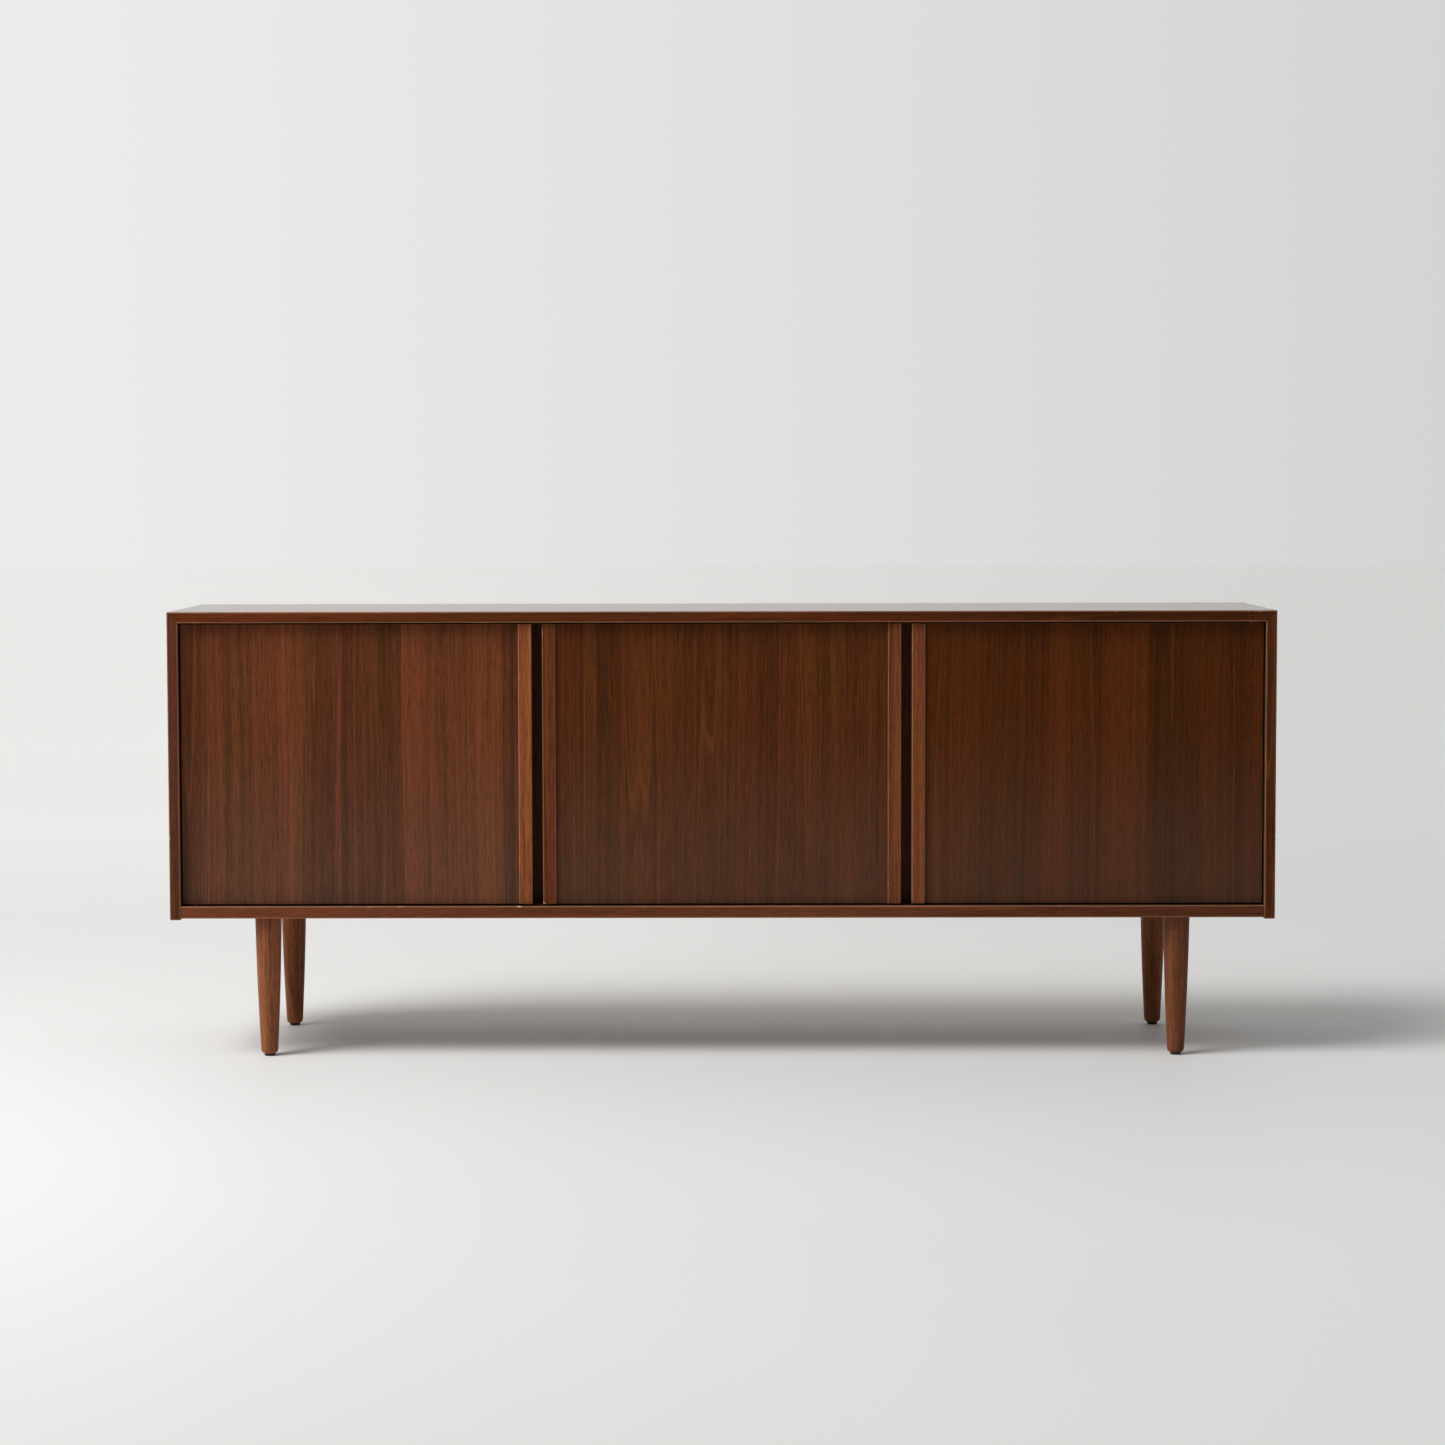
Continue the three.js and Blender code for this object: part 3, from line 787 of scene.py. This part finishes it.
def screw_head(radius):
    """A slotted head that faces +Z, as a bmesh of its own."""
    head = bmesh.new()
    profile = [(0, -HEAD_SUNK), (radius, -HEAD_SUNK), (radius, SLOT_FLOOR), (0, SLOT_FLOOR)]
    turn_into(head, rounded(profile, 0.0001, 2), 24, Vector())
    for turn in (0, math.pi):
        add_half_disc(head, radius * 0.93, radius * 0.13, Matrix.Rotation(turn, 4, "Z"))
    return head


def move_into(bm, part):
    """Adds part to bm, and uses it up."""
    loose = bpy.data.meshes.new("loose_part")
    part.to_mesh(loose)
    part.free()
    bm.from_mesh(loose)
    bpy.data.meshes.remove(loose)


def add_screws(name, places, way, radius, material, body):
    """Slotted screw heads at the given places, facing way, in one piece."""
    bm = bmesh.new()
    facing = Vector(way).to_track_quat("Z", "Y").to_matrix().to_4x4()
    for number, place in enumerate(places):
        head = screw_head(radius)
        spin = Matrix.Rotation(2.4 * number, 4, "Z")
        matrix = Matrix.Translation(place) @ facing @ spin
        bmesh.ops.transform(head, matrix=matrix, verts=head.verts)
        move_into(bm, head)
    add_mesh(name, bm, material, body, smooth=False)


def even_steps(start, end, count):
    return [start + (end - start) * i / (count - 1) for i in range(count)]


def back_screw_places():
    """Round the edge of the back board, and up it behind both partitions."""
    low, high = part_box("back_panel")
    inset = BACK_SCREW_INSET
    columns = even_steps(low.x + inset, high.x - inset, BACK_SCREW_COLUMNS)
    rows = even_steps(low.z + inset, high.z - inset, BACK_SCREW_ROWS)
    places = [Vector((x, high.y, z)) for x in columns for z in (rows[0], rows[-1])]
    places += [Vector((x, high.y, z)) for x in (columns[0], columns[-1]) for z in rows[1:-1]]
    for side in ("left", "right"):
        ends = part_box(f"{side}_partition")
        middle = (ends[0].x + ends[1].x) / 2
        places += [Vector((middle, high.y, z)) for z in rows]
    return places


def pivot_of(side):
    """Where a door's pivot stands on the floor plan."""
    return next(joint["pos_m"][:2] for joint in frame["joints"] if joint["name"].startswith(side))


def leaf_screw_places(side, node, way):
    """Two along the middle of a hinge leaf, away from its pivot."""
    low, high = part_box(node)
    x, y = pivot_of(side)
    far = low.x if abs(low.x - x) > abs(high.x - x) else high.x
    z = high.z if way > 0 else low.z
    return [Vector((x + (far - x) * share, y, z)) for share in LEAF_SCREW_SHARES]


def add_leaf_screws(side, end, material):
    """The pivot pin shares a case leaf's box, so its plate is found from the board's face."""
    toward_door = -1 if end == "top" else 1
    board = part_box("top_panel")[0].z if end == "top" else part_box("bottom_panel")[1].z
    leaves = (("case", toward_door, "case"), ("door", -toward_door, f"{side}_door"))
    for kind, way, body in leaves:
        node = f"{side}_{end}_{kind}_leaf"
        places = leaf_screw_places(side, node, way)
        if kind == "case":
            for place in places:
                place.z = board
        add_screws(f"{node}_screws", places, (0, 0, way), HINGE_SCREW, material, body)


def add_plate_screws(side, material):
    """Two in a door's strike plate, on its back, and two in the catch, under it."""
    low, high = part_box(f"{side}_strike_plate")
    middle = (low + high) / 2
    steps = (-STRIKE_SCREW_STEP, STRIKE_SCREW_STEP)
    places = [Vector((middle.x + step, high.y, middle.z)) for step in steps]
    name = f"{side}_strike_screws"
    add_screws(name, places, (0, 1, 0), STRIKE_SCREW, material, f"{side}_door")

    low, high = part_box(f"{side}_catch")
    middle = (low + high) / 2
    steps = (-CATCH_SCREW_STEP, CATCH_SCREW_STEP)
    places = [Vector((middle.x + step, middle.y, low.z)) for step in steps]
    add_screws(f"{side}_catch_screws", places, (0, 0, -1), CATCH_SCREW, material, "case")


def make_hardware():
    brass = metal("aged_brass", (0.52, 0.35, 0.13, 1), (0.22, 0.13, 0.05, 1), 0.30)
    steel = metal("zinc_steel", (0.46, 0.46, 0.47, 1), (0.27, 0.26, 0.25, 1), 0.34)
    brown = plastic("catch_plastic", (0.075, 0.040, 0.022, 1), 0.45)
    for name in frame["nodes"]:
        if name.endswith("_leaf"):
            dress(name, brass, width=SMALL_ARRIS, boxed=False)
        elif "_shelf_pin_" in name:
            dress(name, brass, width=SMALL_ARRIS / 2, boxed=False)
        elif name.endswith("_strike_plate"):
            dress(name, steel, width=SMALL_ARRIS / 2)
        elif name.startswith(("leg_socket", "leg_bolt")):
            dress(name, steel, width=SMALL_ARRIS / 2, boxed=False)
        elif name.endswith("_catch"):
            dress(name, brown)
    for side in ("left", "centre", "right"):
        add_plate_screws(side, steel)
        for end in ("top", "bottom"):
            add_leaf_screws(side, end, brass)
    places = back_screw_places()
    add_screws("back_screws", places, (0, 1, 0), BACK_SCREW, steel, "case")


# ---- floor, light and camera ----


def floor_material():
    """Pale, paler far off, and giving off a little light behind the sideboard."""
    s = Shader("floor")
    place = s.add("TexCoord").outputs["Object"]
    cloud = s.noise(place, (0.7, 0.7, 0.7), 2.0)[0]
    rough = s.range(cloud, 0.3, 0.7, 0.55, 0.65)
    reach = s.add("VectorMath", {0: place}, operation="LENGTH").outputs["Value"]
    far = s.range(reach, 2.0, 9.0)
    across = s.math("DIVIDE", s.split(place)[0], reach)
    behind = s.range(s.split(place)[1], 0.2, 4.4)
    glow = s.math("MULTIPLY", behind, s.range(across, -0.25, 0.25, *FLOOR_GLOW))
    inputs = {
        "Base Color": s.mix(far, FLOOR_NEAR, FLOOR_FAR),
        "Roughness": rough,
        "Specular IOR Level": 0.2,
        "Emission Color": (1.0, 1.0, 0.985, 1),
        "Emission Strength": glow,
    }
    return s.surface(inputs)


def make_floor():
    bm = bmesh.new()
    bmesh.ops.create_circle(bm, cap_ends=True, radius=FLOOR_RADIUS, segments=96)
    mesh = bpy.data.meshes.new("floor")
    bm.to_mesh(mesh)
    bm.free()
    mesh.materials.append(floor_material())
    floor = bpy.data.objects.new("floor", mesh)
    bpy.context.scene.collection.objects.link(floor)


def make_world():
    """A pale studio: bright overhead and behind the sideboard, dimmer on the camera's side."""
    world = bpy.data.worlds.new("studio")
    world.use_nodes = True
    s = Shader.of_tree(world.node_tree)
    way = s.split(s.add("TexCoord").outputs["Generated"])
    behind = s.mix(s.range(way[0], -0.45, 0.45), WORLD_LEFT + (1,), WORLD_RIGHT + (1,))
    level = s.mix(s.range(way[1], -0.8, 0.8), WORLD_BEFORE + (1,), behind)
    colour = s.mix(s.range(way[2], 0.25, 1.0), level, WORLD_ABOVE + (1,))
    s.feed(world.node_tree.nodes["Background"].inputs[0], colour)
    bpy.context.scene.world = world


def add_light(name, kind, power, angles, distance):
    """A light that is aimed at the middle of the doors."""
    turn, rise = (math.radians(angle) for angle in angles)
    level = math.cos(rise)
    way = Vector((-math.sin(turn) * level, -math.cos(turn) * level, math.sin(rise)))
    data = bpy.data.lights.new(name, kind)
    data.energy = power
    light = bpy.data.objects.new(name, data)
    light.location = LIGHT_TARGET + way * distance
    light.rotation_euler = (-way).to_track_quat("-Z", "Y").to_euler()
    bpy.context.scene.collection.objects.link(light)
    return data


def make_lights():
    key = add_light("key", "AREA", KEY_POWER, KEY_WAY, KEY_DISTANCE)
    key.size = KEY_SIZE
    sun = add_light("sun", "SUN", SUN_POWER, SUN_WAY, 2 * KEY_DISTANCE)
    sun.angle = math.radians(SUN_SPREAD)


def make_camera():
    data = bpy.data.cameras.new("camera")
    data.lens = CAMERA_LENS
    data.sensor_width = 36
    data.clip_end = 200
    camera = bpy.data.objects.new("camera", data)
    turn = Matrix.Rotation(math.radians(CAMERA_TURN), 4, "Z")
    tilt = Matrix.Rotation(math.radians(90 - CAMERA_PITCH), 4, "X")
    roll = Matrix.Rotation(math.radians(-CAMERA_ROLL), 4, "Z")
    camera.matrix_world = Matrix.Translation(CAMERA_PLACE) @ turn @ tilt @ roll
    bpy.context.scene.collection.objects.link(camera)
    bpy.context.scene.camera = camera


make_camera()
make_floor()
make_world()
make_lights()
bpy.context.scene.view_settings.view_transform = "Standard"

make_case()
make_doors()
make_pulls()
make_legs()
make_hardware()
